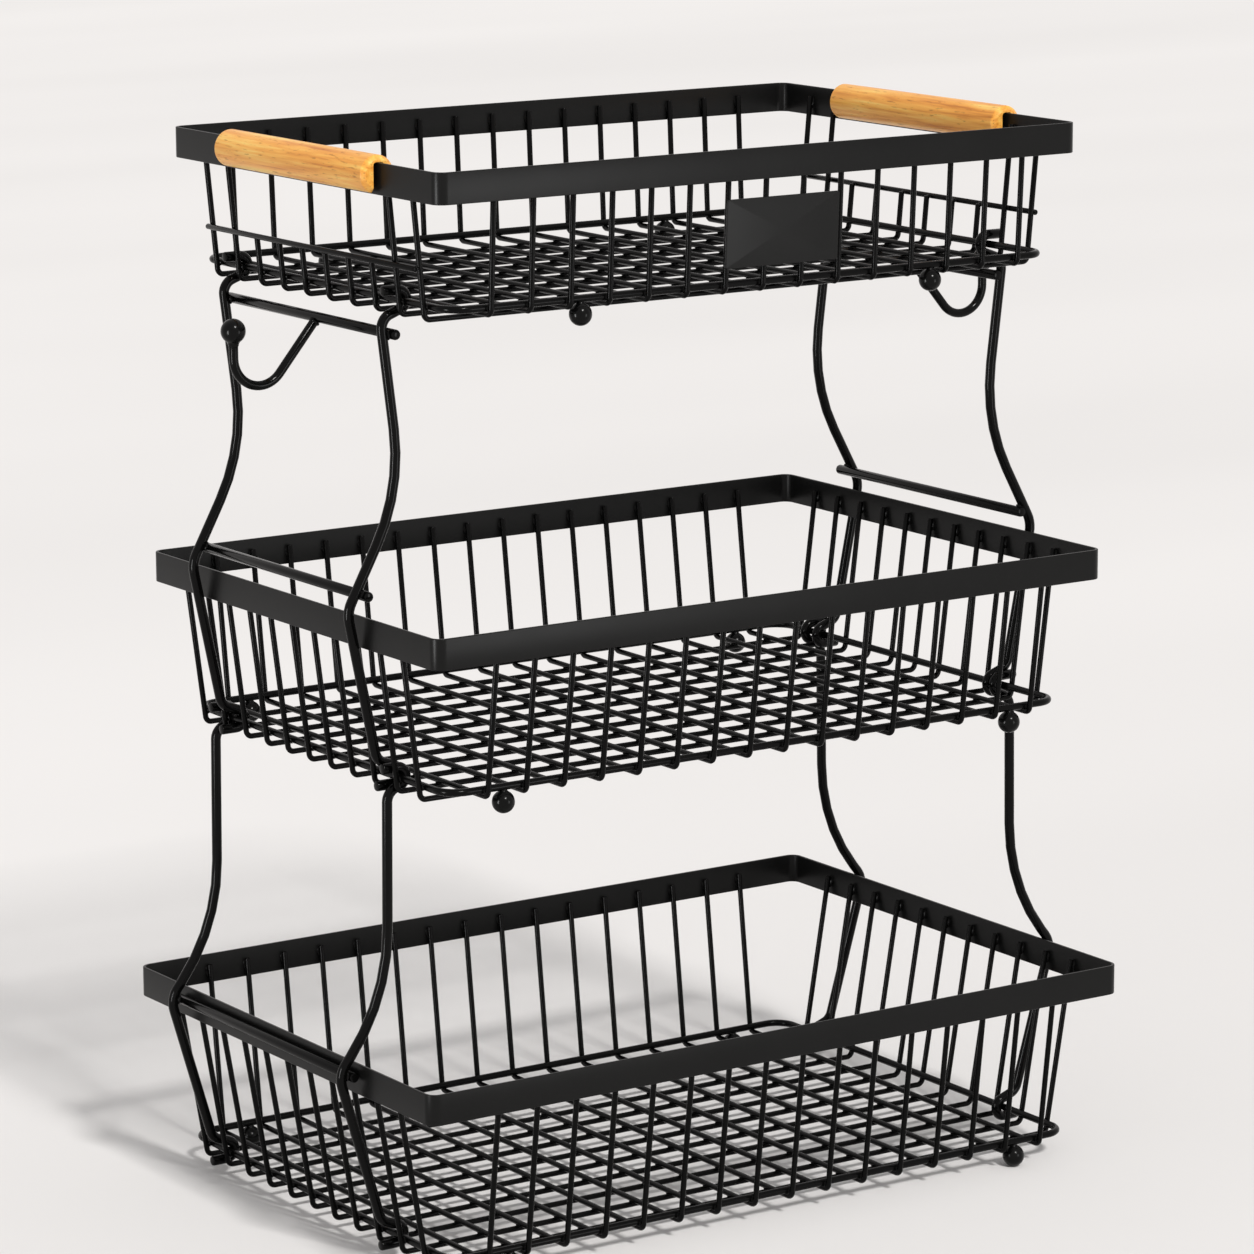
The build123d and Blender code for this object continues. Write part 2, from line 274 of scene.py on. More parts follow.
def powder_coat(name, shade, roughness, peel, gloss):
    """Satin black powder coat.

    Colour: shade, drifting slowly to 1.5 shades, with fine specks half way to 2.4 shades where the powder
    is thin. Roughness: the given one, give or take the drift and the specks. Height: an orange peel of
    peel millimetres, over the waviness of the steel beneath. gloss is the specular level.
    """
    material, start = blank_material(name)
    place = start.node("ShaderNodeTexCoord", {}, {}, "Object")
    drift = noise(start, place, drift_pace, detail=4.0)
    grit = noise(start, place, grit_pace, detail=2.0, roughness=0.6)
    skin = noise(start, place, peel_pace, detail=1.0)
    wave = noise(start, place, wave_pace, detail=1.0)
    first, full = thin_spots
    speck = start.node("ShaderNodeMapRange", {}, {"Value": grit, "From Min": first, "From Max": full})
    body = between(start, drift, (shade, shade, shade), (1.5 * shade, 1.5 * shade, 1.46 * shade))
    colour = between(start, speck * 0.5, body, (2.4 * shade, 2.4 * shade, 2.4 * shade))
    waved = start.node(
        "ShaderNodeBump", {}, {"Strength": 0.12, "Distance": wave_height * mm, "Height": wave}
    )
    bump = start.node(
        "ShaderNodeBump", {}, {"Strength": 0.2, "Distance": peel * mm, "Height": skin, "Normal": waved}
    )
    surface = start.node(
        "ShaderNodeBsdfPrincipled",
        {},
        {
            "Base Color": colour,
            "Roughness": roughness - 0.05 + 0.1 * drift + 0.08 * speck,
            "Specular IOR Level": gloss,
            "Normal": bump,
        },
    )
    start.node("ShaderNodeOutputMaterial", {}, {"Surface": surface})
    return material


def piece(name, skin, material, slot, *nodes):
    """A finished piece, which rides on the one body and stands for its nodes of the frame."""
    mesh = bpy.data.meshes.new(name)
    mesh.from_pydata((mm * skin.points).tolist(), [], skin.quads.tolist() + skin.triangles.tolist())
    mesh.shade_smooth()
    mesh.set_sharp_from_angle(angle=np.radians(crease))
    mesh.materials.append(material)
    made = bpy.data.objects.new(name, mesh)
    bpy.context.scene.collection.objects.link(made)
    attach(made, "root")
    if nodes:
        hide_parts(*nodes)
    return made


wire_paint = powder_coat("powder_coat_on_wire", shade=0.0016, roughness=0.2, peel=0.04, gloss=0.085)
ring_middle = {}  # half length, half width and level of each ring's middle line
for tier in tiers:
    low, high = measured(f"{tier}_base_ring")
    half_x, half_y = high[:2] - ring_wire / 2
    level = (low[2] + high[2]) / 2
    ring_middle[tier] = (half_x, half_y, level)
    corners = [(half_x, -half_y), (half_x, half_y), (-half_x, half_y), (-half_x, -half_y)]
    line = placed(bent_line(corners, [ring_corner] * 4), (0, 0, level), (1, 0, 0), (0, 1, 0))
    ring = round_wire(line, ring_wire / 2, (0, 0, 1), ring_sides, closed=True)
    piece(f"{tier}_ring_wire", ring, wire_paint, "wire_paint", f"{tier}_base_ring")

# ---------------------------------------------------------------- wall and floor wires
# Each wall and floor wire is one 2.8 mm wire bent to a U: down a wall, tight under the ring, across the
# floor and up the other wall. The wires from front to back lie on the wires from side to side.
basket_wire = 2.8
wire_bend = 3.2
wire_sides = 12
wire_count = {"bottom": (16, 11), "middle": (16, 11), "top": (15, 10)}  # front to back, side to side
band_thickness = 1.5  # of the rims
wire_end_drop = 5.0  # from the top of the rim to a wire's cut end
side_rail_height = 18.3  # of the side rails, above the ring
open_wires = 6  # side wires of the top basket that stop at its side rails
frame_flats = 8  # flats of each wire in the frame, as wide across them as the wire
ring_reach = ring_wire / 2 / np.cos(np.pi / frame_flats)  # from a ring's middle to the edges between them
wrap = ring_reach + basket_wire / 2  # from a ring's middle to a wall wire's middle


def wall_of(tier, axis):
    """Half the ring, tilt from upright, and height of the cut ends of the walls square to an axis.

    The tilt is the angle of the line that passes the ring's middle at the distance wrap and meets the
    rim's inner face where the wires end: acos(wrap / reach) - atan2(rise, run).
    """
    half_ring = ring_middle[tier][axis]
    rim_high = measured(f"{tier}_rim")[1]
    rise = rim_high[2] - wire_end_drop - ring_middle[tier][2]
    run = rim_high[axis] - band_thickness - basket_wire / 2 - half_ring
    return half_ring, np.arccos(wrap / np.hypot(run, rise)) - np.arctan2(rise, run), rise


def out_at(half_ring, tilt, height):
    """Distance of a wall wire's middle from the middle plane: half ring + wrap / cos + height * tan."""
    return half_ring + wrap / np.cos(tilt) + height * np.tan(tilt)


def u_line(half_ring, tilt, ring_level, floor_drop, end_rise):
    """The U of one wire: cut end, foot, foot, cut end, with both feet rounded."""
    foot = out_at(half_ring, tilt, -floor_drop)
    head = out_at(half_ring, tilt, end_rise)
    floor = ring_level - floor_drop
    corners = [(-head, ring_level + end_rise), (-foot, floor), (foot, floor), (head, ring_level + end_rise)]
    return bent_line(corners, [0, wire_bend, wire_bend, 0])


def between_faces(faces, count):
    """Middle lines of evenly spaced wires whose first and last end at the two faces."""
    return np.linspace(faces[0] + basket_wire / 2, faces[1] - basket_wire / 2, count)


long_places = {}  # along X, of each basket's wires from front to back
cross_places = {}  # along Y, of each basket's wires from side to side
for tier in tiers:
    long_count, cross_count = wire_count[tier]
    long_box = measured(f"{tier}_long_wires")
    cross_box = measured(f"{tier}_cross_wires")
    long_places[tier] = between_faces(long_box[:, 0], long_count)
    cross_places[tier] = between_faces(cross_box[:, 1], cross_count)
    level = ring_middle[tier][2]
    long_drop = (ring_wire + basket_wire) / 2

    half_ring, tilt, rise = wall_of(tier, 1)
    line = placed(u_line(half_ring, tilt, level, long_drop, rise), (0, 0, 0), (0, 1, 0), (0, 0, 1))
    wire = round_wire(line, basket_wire / 2, (1, 0, 0), wire_sides)
    row = wire.repeated([(x, 0, 0) for x in long_places[tier]])
    piece(f"{tier}_wires_front_to_back", row, wire_paint, "wire_paint", f"{tier}_long_wires")

    half_ring, tilt, rise = wall_of(tier, 0)
    cross_drop = long_drop + basket_wire
    opening = np.zeros(cross_count, bool)
    if tier == "top":
        middle = (cross_count - open_wires) // 2
        opening[middle : middle + open_wires] = True
    row = None
    for end_rise, chosen in ((rise, ~opening), (side_rail_height, opening)):
        if not chosen.any():
            continue
        line = placed(u_line(half_ring, tilt, level, cross_drop, end_rise), (0, 0, 0), (1, 0, 0), (0, 0, 1))
        wire = round_wire(line, basket_wire / 2, (0, -1, 0), wire_sides)
        wires = wire.repeated([(0, y, 0) for y in cross_places[tier][chosen]])
        row = wires if row is None else row + wires
    piece(f"{tier}_wires_side_to_side", row, wire_paint, "wire_paint", f"{tier}_cross_wires")

# ---------------------------------------------------------------- welds of the baskets
# Wires are resistance welded wherever they cross, and each leaves a small flattened bead in the corners
# of the crossing. Cut ends are welded to the inner face of the rim along both of their sides.
bead_around = 8
bead_rings = 4
crossing_bead = (1.5, 1.5, 0.85)  # half its length, breadth and height, where floor wires cross
ring_bead = (1.7, 0.9, 1.7)  # half its length, depth and height, where a wall wire passes the ring
rim_bead = (2.0, 0.95, 3.2)  # the same, where a wall wire ends inside the rim
rim_bead_depth = 0.35  # its middle, inside the rim's inner face
rim_bead_drop = 3.4  # its middle, below the wire's cut end


def bead(first, second, third):
    """A welded blob: cos a * sin b * first + sin a * sin b * second + cos b * third, with few faces."""
    axes = np.array([first, second, third], float)
    axes[0] *= np.sign(np.linalg.det(axes))
    slope = np.pi * np.arange(1, bead_rings + 1)[:, None] / (bead_rings + 1)
    angle = 2 * np.pi * np.arange(bead_around) / bead_around
    rings = np.stack(
        [np.cos(angle) * np.sin(slope), np.sin(angle) * np.sin(slope), -np.cos(slope) + 0 * angle], axis=-1
    )
    return through_rings(rings @ axes, axes[2] * np.array([[-1.0], [1.0]]))


for tier in tiers:
    level = ring_middle[tier][2]
    x, y = (grid.ravel() for grid in np.meshgrid(long_places[tier], cross_places[tier]))
    crossings = np.stack([x, y, np.full(x.size, level - ring_wire / 2 - basket_wire)], axis=1)
    welds = bead(*np.diag(crossing_bead)).repeated(crossings)
    rim_high = measured(f"{tier}_rim")[1]
    for axis, places in ((1, long_places[tier]), (0, cross_places[tier])):
        half_ring, tilt, rise = wall_of(tier, axis)
        whole = np.full(len(places), True)
        if tier == "top" and axis == 0:
            whole = np.abs(places) > open_wires / 2 * (places[1] - places[0])
        along = np.eye(3)[1 - axis]
        for side in (-1.0, 1.0):
            sideways = side * np.eye(3)[axis]
            outward = sideways * np.cos(tilt) - np.array([0, 0, np.sin(tilt)])
            upward = sideways * np.sin(tilt) + np.array([0, 0, np.cos(tilt)])
            at_ring = half_ring * sideways + (0, 0, level) + ring_wire / 2 * outward
            small = bead(ring_bead[0] * along, ring_bead[1] * outward, ring_bead[2] * upward)
            welds = welds + small.repeated(at_ring + places[:, None] * along)
            inside_rim = rim_high[axis] - band_thickness - rim_bead_depth
            at_rim = inside_rim * sideways + (0, 0, level + rise - rim_bead_drop)
            tall = bead(rim_bead[0] * along, rim_bead[1] * outward, rim_bead[2] * upward)
            welds = welds + tall.repeated(at_rim + places[whole, None] * along)
    piece(f"{tier}_welds", welds, wire_paint, "wire_paint")

# ---------------------------------------------------------------- rims
# Each rim is a 15 x 1.5 mm steel strip bent to a rectangle on edge, its long edges dulled by tumbling,
# and closed by a butt weld that was ground flush. The wall wires are welded inside it.
rim_corner = 6.0  # outside
edge_ease = 0.4  # radius of the dulled edges


def rounded_box(width, height, radius, steps=4):
    """A rectangle whose corners are quarter circles, as points that run round it to the left."""
    across, up = width / 2 - radius, height / 2 - radius
    parts = []
    for turn, (x, y) in enumerate(((across, -up), (across, up), (-across, up), (-across, -up))):
        angle = np.radians(90.0 * (turn - 1) + 90.0 * np.linspace(0, 1, steps + 1))
        parts.append(np.array([x, y]) + radius * np.stack([np.cos(angle), np.sin(angle)], axis=1))
    return np.concatenate(parts)


# The strip wears the wires' coat, but its shade is three times theirs: a painted lightening that stands for
# the brighter reflection of its flat faces.
rim_paint = powder_coat("powder_coat_on_strip", shade=0.0050, roughness=0.30, peel=0.04, gloss=0.13)
for tier in tiers:
    low, high = measured(f"{tier}_rim")
    half_x, half_y = high[:2] - band_thickness / 2
    bend = rim_corner - band_thickness / 2
    corners = [(half_x, -half_y), (half_x, half_y), (-half_x, half_y), (-half_x, -half_y)]
    line = bent_line(corners, [bend] * 4)
    onward = unit(np.roll(line, -1, axis=0) - line)
    course = unit(onward + np.roll(onward, 1, axis=0))
    outward = np.stack([course[:, 1], -course[:, 0]], axis=1)
    section = rounded_box(band_thickness, high[2] - low[2], edge_ease)
    middle = (low[2] + high[2]) / 2
    rings = np.zeros((len(line), len(section), 3))
    rings[:, :, :2] = line[:, None] + section[None, ::-1, :1] * outward[:, None]
    rings[:, :, 2] = middle + section[None, ::-1, 1]
    piece(f"{tier}_rim_strip", through_rings(rings), rim_paint, "rim_paint", f"{tier}_rim")

# ---------------------------------------------------------------- feet
# Four steel balls are welded under each ring's long sides. The glossier coat gathers on their round
# undersides, and a small collar of weld joins each to the wire above it.
foot_ball = 11.0
foot_neck = 1.7  # radius of the weld collar where it meets the ring
ball_around = 28
ball_rows = 18
collar_rows = 4
collar_spread = 1.5  # necks out from the axis, where the collar leaves the ball
collar_rise = 0.45  # necks above the ball, where it ends
collar_pull = (1.05, 0.25)  # necks out from the axis and up from the ball, to which its hollow is drawn


def welded_ball(diameter, neck):
    """A ball about the origin with a weld collar above it, turned about Z: (r(s) cos a, r(s) sin a, z(s)).

    r and z follow the circle up to the collar, then the curve (1-t)^2 start + 2t(1-t) pull + t^2 end,
    which is hollow and ends at the neck.
    """
    radius = diameter / 2
    stop = np.pi - np.arcsin(collar_spread * neck / radius)
    slope = np.linspace(0.0, stop, ball_rows + 1)[1:]
    ball = np.stack([radius * np.sin(slope), -radius * np.cos(slope)], axis=1)
    hollow = np.linspace(0.0, 1.0, collar_rows + 1)[1:, None]
    start, end = ball[-1], np.array([neck, radius + collar_rise * neck])
    pull = np.array([collar_pull[0] * neck, start[1] + collar_pull[1] * neck])
    collar = (1 - hollow) ** 2 * start + 2 * hollow * (1 - hollow) * pull + hollow**2 * end
    outline = np.concatenate([ball, collar])
    angle = 2 * np.pi * np.arange(ball_around) / ball_around
    rings = np.stack(
        [
            outline[:, :1] * np.cos(angle),
            outline[:, :1] * np.sin(angle),
            outline[:, 1:] * np.ones(ball_around),
        ],
        axis=-1,
    )
    return through_rings(rings, np.array([(0, 0, -radius), (0, 0, outline[-1, 1])]))


ball_paint = powder_coat("powder_coat_on_balls", shade=0.0020, roughness=0.18, peel=0.03, gloss=0.12)
for tier in tiers:
    low, high = measured(f"{tier}_feet")
    reach_x, reach_y = high[:2] - foot_ball / 2
    level = (low[2] + high[2]) / 2
    places = [(x, y, level) for x in (-reach_x, reach_x) for y in (-reach_y, reach_y)]
    feet = welded_ball(foot_ball, foot_neck).repeated(places)
    piece(f"{tier}_foot_balls", feet, ball_paint, "ball_paint", f"{tier}_feet")

# ---------------------------------------------------------------- side rails of the top basket
# At each hand opening a straight 2.8 mm rail is welded across the outside of the side wires. Those under
# the opening stop at it, and its ends are cut off behind the outermost wires.
rail_trim = 4.0  # off each end of the rail in the frame
rail_bead = (0.85, 2.0, 0.9)  # half the depth, length and height of its welds
hands = (("left", -1.0), ("right", 1.0))  # and their way along X

tilt = wall_of("top", 0)[1]
for hand, side in hands:
    low, high = measured(f"top_side_rail_{hand}")
    x, _, z = (low + high) / 2
    ends = np.array([(x, low[1] + rail_trim, z), (x, high[1] - rail_trim, z)])
    rail = round_wire(ends, basket_wire / 2, (0, 0, 1), wire_sides)
    outward = np.array([side * np.cos(tilt), 0, -np.sin(tilt)])
    upward = np.array([side * np.sin(tilt), 0, np.cos(tilt)])
    contact = np.array([x, 0, z]) - basket_wire / 2 * outward
    joint = bead(rail_bead[0] * outward, (0, rail_bead[1], 0), rail_bead[2] * upward)
    rail = rail + joint.repeated(contact + cross_places["top"][:, None] * (0, 1, 0))
    piece(f"side_rail_{hand}", rail, wire_paint, "wire_paint", f"top_side_rail_{hand}")

# ---------------------------------------------------------------- wooden handles
# Each handle is an 18 mm wooden dowel with bevelled ends. A wide slot with a rounded top is routed along
# its underside, so that it sits astride the rim. It is sanded and clear lacquered.
dowel_radius = 9.0
dowel_half = 70.0  # half its length
end_bevel = 2.0
bevel_rounds = (1.2, 0.5)  # where the bevel meets the side and the end
slot_half = 2.9  # half its width
slot_round = 1.6
slot_clearance = 0.2  # above the rim
dowel_shift = 1.5  # of the right handle towards the back, and of the left one towards the front
dowel_points = 72  # round the outside, and as many round the slot
pith_offset = (21.0, 34.0)  # from the middle of the tree to the middle of the dowel, along X and Z
wood_tones = (  # colours from the darkest tone to the palest
    (0.15, (0.60, 0.19, 0.02)),
    (0.4, (0.86, 0.36, 0.055)),
    (0.6, (0.95, 0.47, 0.085)),
    (0.85, (0.99, 0.66, 0.17)),
)
pore_colour = (0.36, 0.115, 0.02)
ring_pace = 1500.0  # turn of the growth rings' sine, in radians to the metre
ring_wander = 26.0  # radians that they stray by
same_place = 1e-7  # points of the two lips nearer than this are one

rim_high = measured("top_rim")[1]
dowel_x = rim_high[0] - band_thickness / 2
dowel_z = measured("wooden_handle_right")[1][2] - dowel_radius
slot_top = rim_high[2] + slot_clearance - dowel_z


def evenly(line, count):
    """A line's course as count points at even steps along it."""
    reach = np.concatenate([[0.0], np.cumsum(np.linalg.norm(np.diff(line, axis=0), axis=1))])
    steps = np.linspace(0.0, reach[-1], count)
    return np.stack([np.interp(steps, reach, axis) for axis in line.T], axis=1)


def dowel_section(y, radius):
    """The wood across the dowel at y, as two rows of as many points from lip to lip of the slot.

    One goes over the top: radius * (cos a, sin a). The other goes up one wall of the slot and down the
    other, with the slot's two upper corners rounded.
    """
    lip = np.array([slot_half, -np.sqrt(radius**2 - slot_half**2)])
    half_turn = np.pi / 2 + np.arctan2(-lip[1], lip[0])
    angle = np.pi / 2 + half_turn * np.linspace(1, -1, dowel_points)
    top_left, top_right = (-slot_half, slot_top), (slot_half, slot_top)
    slot = bent_line([lip * (-1, 1), top_left, top_right, lip], [0, slot_round, slot_round, 0])
    outside = radius * np.stack([np.cos(angle), np.sin(angle)], axis=1)
    return [np.insert(row, 1, y, axis=1) for row in (outside, evenly(slot, dowel_points))]


edge = [
    (0, dowel_radius),
    (dowel_half - end_bevel, dowel_radius),
    (dowel_half, dowel_radius - end_bevel),
    (dowel_half, 0),
]
half_profile = bent_line(edge, [0, *bevel_rounds, 0])[1:-1]
profile = np.concatenate([half_profile[::-1], half_profile * (-1, 1)])
sections = [dowel_section(y, radius) for y, radius in profile]

# Each loop runs along the outside and back through the slot. The first and the last lie along the lips,
# where the two rows meet, so they need no poles.
loops = np.array([outside for outside, _ in sections] + [slot for _, slot in sections[::-1]])
dowel_skin = through_rings(loops.transpose(1, 0, 2), ())
dowel_skin.points = dowel_skin.points + (dowel_x, dowel_shift, dowel_z)


def grain(place, seed, across, along, detail):
    """Noise stretched along Y, with that many bumps to the metre across the grain and along it."""
    scale = (across, along, across)
    scaled = place.node("ShaderNodeMapping", {}, {"Vector": place, "Scale": scale, "Location": seed})
    return noise(place, scaled, 1.0, detail, roughness=0.6)


def lacquered_wood(name, pith, seed):
    """Honey-coloured hardwood under satin lacquer, its grain along Y.

    Tone: broad streaks, growth rings and fine fibre added up. A ring is the sine of the distance from the
    pith, which slow noise leads astray. Dashes: short dark pores where fine stretched noise is high.
    Fibre stands a little proud, pores are sunk, and both dull the lacquer.
    """
    material, start = blank_material(name)
    place = start.node("ShaderNodeTexCoord", {}, {}, "Object")
    centred = start.node("ShaderNodeMapping", {}, {"Vector": place, "Location": pith})
    slow = grain(centred, seed, across=90.0, along=9.0, detail=3.0)
    streak = grain(centred, seed, across=330.0, along=14.0, detail=4.0)
    fibre = grain(centred, seed, across=1300.0, along=45.0, detail=3.0)
    pores = grain(centred, seed, across=1100.0, along=130.0, detail=2.0)
    dash = start.node("ShaderNodeMapRange", {}, {"Value": pores, "From Min": 0.6, "From Max": 0.7})
    apart = start.node("ShaderNodeSeparateXYZ", {}, {"Vector": centred})
    across = Shade(start.tree, apart.socket.node.outputs["X"])
    upward = Shade(start.tree, apart.socket.node.outputs["Z"])
    distance = start.sum_of("SQRT", across * across + upward * upward, 0.0)
    ring = start.sum_of("SINE", distance * ring_pace + slow * ring_wander, 0.0) * 0.5 + 0.5
    tone = ring * 0.16 + streak * 1.3 + fibre * 0.3 - 0.36
    wood = start.node("ShaderNodeValToRGB", {"stops": wood_tones}, {"Fac": tone})
    colour = between(start, dash * 0.6, wood, pore_colour)
    bump = start.node(
        "ShaderNodeBump", {}, {"Strength": 0.3, "Distance": 0.12 * mm, "Height": fibre * 0.4 - dash}
    )
    surface = start.node(
        "ShaderNodeBsdfPrincipled",
        {},
        {
            "Base Color": colour,
            "Roughness": 0.38 + 0.12 * fibre + 0.15 * dash,
            "Specular IOR Level": 0.2,
            "Coat Weight": 0.3,
            "Coat Roughness": 0.25,
            "Normal": bump,
        },
    )
    start.node("ShaderNodeOutputMaterial", {}, {"Surface": surface})
    return material


for hand, side in hands:
    skin = dowel_skin if side > 0 else dowel_skin.half_turned()
    pith = (mm * (pith_offset[0] - side * dowel_x), 0.0, mm * (pith_offset[1] - dowel_z))
    wood = lacquered_wood(f"lacquered_wood_{hand}", pith, seed=(side, 3.0, 0.0))
    handle = piece(f"dowel_{hand}", skin, wood, "handle_wood", f"wooden_handle_{hand}")
    joined = bmesh.new()
    joined.from_mesh(handle.data)
    bmesh.ops.remove_doubles(joined, verts=joined.verts, dist=same_place)
    joined.to_mesh(handle.data)
    joined.free()

# ---------------------------------------------------------------- name plate
# A blank 65 x 33 mm tag of 1 mm sheet is welded on the outside of the front wires, leaning with them. Its
# cut edges are rounded over.
plate_height = 33.0
plate_thickness = 1.0
plate_corner = 1.0
plate_ease = 0.3  # radius of its rounded edges
plate_ease_points = 5

_, tilt, _ = wall_of("top", 1)
low, high = measured("name_plate")
plate_length = high[0] - low[0]
middle = (low + high) / 2
outward = np.array([0, -np.cos(tilt), -np.sin(tilt)])
upward = np.array([0, -np.sin(tilt), np.cos(tilt)])

# Outlines from the back face to the front, each shrunk and lifted by a quarter circle over either edge
quarter = np.radians(np.linspace(0.0, 90.0, plate_ease_points))
inset = plate_ease * np.concatenate([1 - np.sin(quarter), 1 - np.cos(quarter)])
depth = plate_ease * np.concatenate([-np.cos(quarter), np.sin(quarter)])
edge_depth = plate_thickness / 2 - plate_ease
depth = depth + np.repeat([-edge_depth, edge_depth], plate_ease_points)
outlines = []
for shrink, lift in zip(inset, depth):
    outline = rounded_box(plate_length - 2 * shrink, plate_height - 2 * shrink, plate_corner - shrink)
    outlines.append(placed(outline, middle + lift * outward, (1, 0, 0), upward))
poles = middle + plate_thickness / 2 * np.array([[-1.0], [1.0]]) * outward
plate = through_rings(np.array(outlines), poles)
# The plate wears the wires' coat, but its shade is four times theirs: a painted lightening that stands for
# the brighter reflection of its flat faces.
plate_paint = powder_coat("powder_coat_on_plate", shade=0.0065, roughness=0.34, peel=0.04, gloss=0.14)
piece("blank_plate", plate, plate_paint, "plate_paint", "name_plate")

# ---------------------------------------------------------------- side frames
# Four side frames hold the baskets apart. Each is two legs of 5 mm wire, hooked round the ring below and
# the ring above, bowed out past the rim, and joined by crossbars welded to them.
frame_wire = 5.0
frame_sides = 20
seat_gap = 0.2  # between a ring and the loop round it
hook_slope = 20.0  # slope of the run onto a ring, in degrees
stub = 8.5  # straight end of each loop
foot_run = 10.0  # sloped run from a lower loop to the leg's first bend
leg_bend = 7.0

# A leg's knee is given by how far it stands out from the rim beside it and up, and its waist by the lean
# and the rise from the knee. head_run is the sloped run from the leg's last bend to the upper loop.
upper_knee_out = 7.2
upper_knee_rise = 2.7
upper_knee_bend = 14.0
upper_lean = np.radians(28.7)
upper_waist_rise = 55.4
upper_waist_bend = 90.0
upper_head_run = 11.8
lower_knee_out = 9.4
lower_knee_rise = -4.6
lower_knee_bend = 12.0
lower_lean = np.radians(39.0)
lower_waist_rise = 34.0
lower_waist_bend = 96.0
lower_head_run = 7.7
knee_bar_rise = 12.0  # from the middle rim to where the knee crossbar meets the leg
top_bar_drop = 16.4  # from the top ring to where the top crossbar meets the leg
bar_bead = (1.5, 2.7, 2.7)  # half the depth, length and height of the crossbars' welds
loop_radius = ring_reach + frame_wire / 2 + seat_gap


def sloped_run(tier, up, run):
    """The run that meets the loop round a ring, above it or below it: its end at the loop, and away."""
    half_ring, _, level = ring_middle[tier]
    slope = np.radians(hook_slope)
    at_loop = (half_ring - loop_radius * np.sin(slope), level + up * loop_radius * np.cos(slope))
    return at_loop, (at_loop[0] + run * np.cos(slope), at_loop[1] + up * run * np.sin(slope))


def leg_line(low, high, knee, waist, head_run, knee_bend, waist_bend):
    """A leg's middle line: under and round the low ring, out, up, in, and round over the high ring."""
    low_ring, _, low_level = ring_middle[low]
    high_ring, _, high_level = ring_middle[high]
    foot, ankle = sloped_run(low, 1, foot_run)
    head, shoulder = sloped_run(high, -1, head_run)
    corners = [foot, ankle, knee, waist, shoulder, head]
    shank = bent_line(corners, [0, leg_bend, knee_bend, waist_bend, leg_bend, 0])
    turn = hook_slope - 180.0
    return np.concatenate(
        [
            [(low_ring + stub, low_level - loop_radius)],
            arc((low_ring, low_level), loop_radius, 270.0, turn),
            shank[1:-1],
            arc((high_ring, high_level), loop_radius, 270.0 - hook_slope, turn),
            [(high_ring + stub, high_level + loop_radius)],
        ]
    )


middle_rim = measured("middle_rim")[1]
bottom_rim = measured("bottom_rim")[1]
upper_knee = np.array([middle_rim[0] + upper_knee_out, middle_rim[2] + upper_knee_rise])
upper_waist = upper_knee + upper_waist_rise * np.array([-np.tan(upper_lean), 1.0])
lower_knee = np.array([bottom_rim[0] + lower_knee_out, bottom_rim[2] + lower_knee_rise])
lower_waist = lower_knee + lower_waist_rise * np.array([-np.tan(lower_lean), 1.0])
leg_lines = {
    "upper": leg_line(
        "middle", "top", upper_knee, upper_waist, upper_head_run, upper_knee_bend, upper_waist_bend
    ),
    "lower": leg_line(
        "bottom", "middle", lower_knee, lower_waist, lower_head_run, lower_knee_bend, lower_waist_bend
    ),
}


def bar_beside(start, end, height):
    """Middle of a crossbar on the inner side of a straight run at a height, and the way out to the leg."""
    run = unit(np.array(end) - np.array(start))
    meet = np.array(start) + run * (height - start[1]) / run[1]
    out = np.array([run[1], -run[0]])
    return meet - frame_wire * out, out


def bar_in_bend(before, corner, after, bend):
    """Middle of a crossbar inside the middle of a leg's bend, and the way out to the leg."""
    back = unit(np.array(before) - corner)
    onward = unit(np.array(after) - corner)
    inward = unit(back + onward)
    half = np.arccos(back @ onward) / 2
    return corner + inward * (bend / np.sin(half) - bend + frame_wire), -inward


upper_shoulder = sloped_run("top", -1, upper_head_run)[1]
lower_ankle = sloped_run("bottom", 1, foot_run)[1]
rim_bar = bar_in_bend(lower_ankle, lower_knee, lower_waist, lower_knee_bend)
knee_bar = bar_beside(upper_knee, upper_waist, middle_rim[2] + knee_bar_rise)
top_bar = bar_beside(upper_waist, upper_shoulder, ring_middle["top"][2] - top_bar_drop)
crossbars = (
    ("lower", "crossbar", rim_bar),
    ("upper", "knee_crossbar", knee_bar),
    ("upper", "top_crossbar", top_bar),
)
frame_paint = powder_coat("powder_coat_on_frames", shade=0.0016, roughness=0.14, peel=0.04, gloss=0.105)
for hand, side in hands:
    leg_places = {}
    for level in ("upper", "lower"):
        for end in ("front", "back"):
            node = f"{level}_{hand}_{end}_leg"
            low, high = measured(node)
            y = (low[1] + high[1]) / 2
            leg_places[level, end] = y
            line = placed(leg_lines[level], (0, y, 0), (side, 0, 0), (0, 0, 1))
            leg = round_wire(line, frame_wire / 2, (0, -side, 0), frame_sides)
            piece(f"leg_{level}_{hand}_{end}", leg, frame_paint, "frame_paint", node)
    for level, name, ((x, z), to_leg) in crossbars:
        node = f"{level}_{hand}_{name}"
        low, high = measured(node)
        ends = np.array([(side * x, low[1], z), (side * x, high[1], z)])
        bar = round_wire(ends, frame_wire / 2, (0, 0, 1), frame_sides)
        out = np.array([side * to_leg[0], 0, to_leg[1]])
        joint = bead(bar_bead[0] * out, (0, bar_bead[1], 0), bar_bead[2] * np.cross(out, (0, 1, 0)))
        contact = np.array([side * x, 0, z]) + frame_wire / 2 * out
        joints = joint.repeated([contact + (0, leg_places[level, end], 0) for end in ("front", "back")])
        piece(f"bar_{level}_{hand}_{name}", bar + joints, frame_paint, "frame_paint", node)

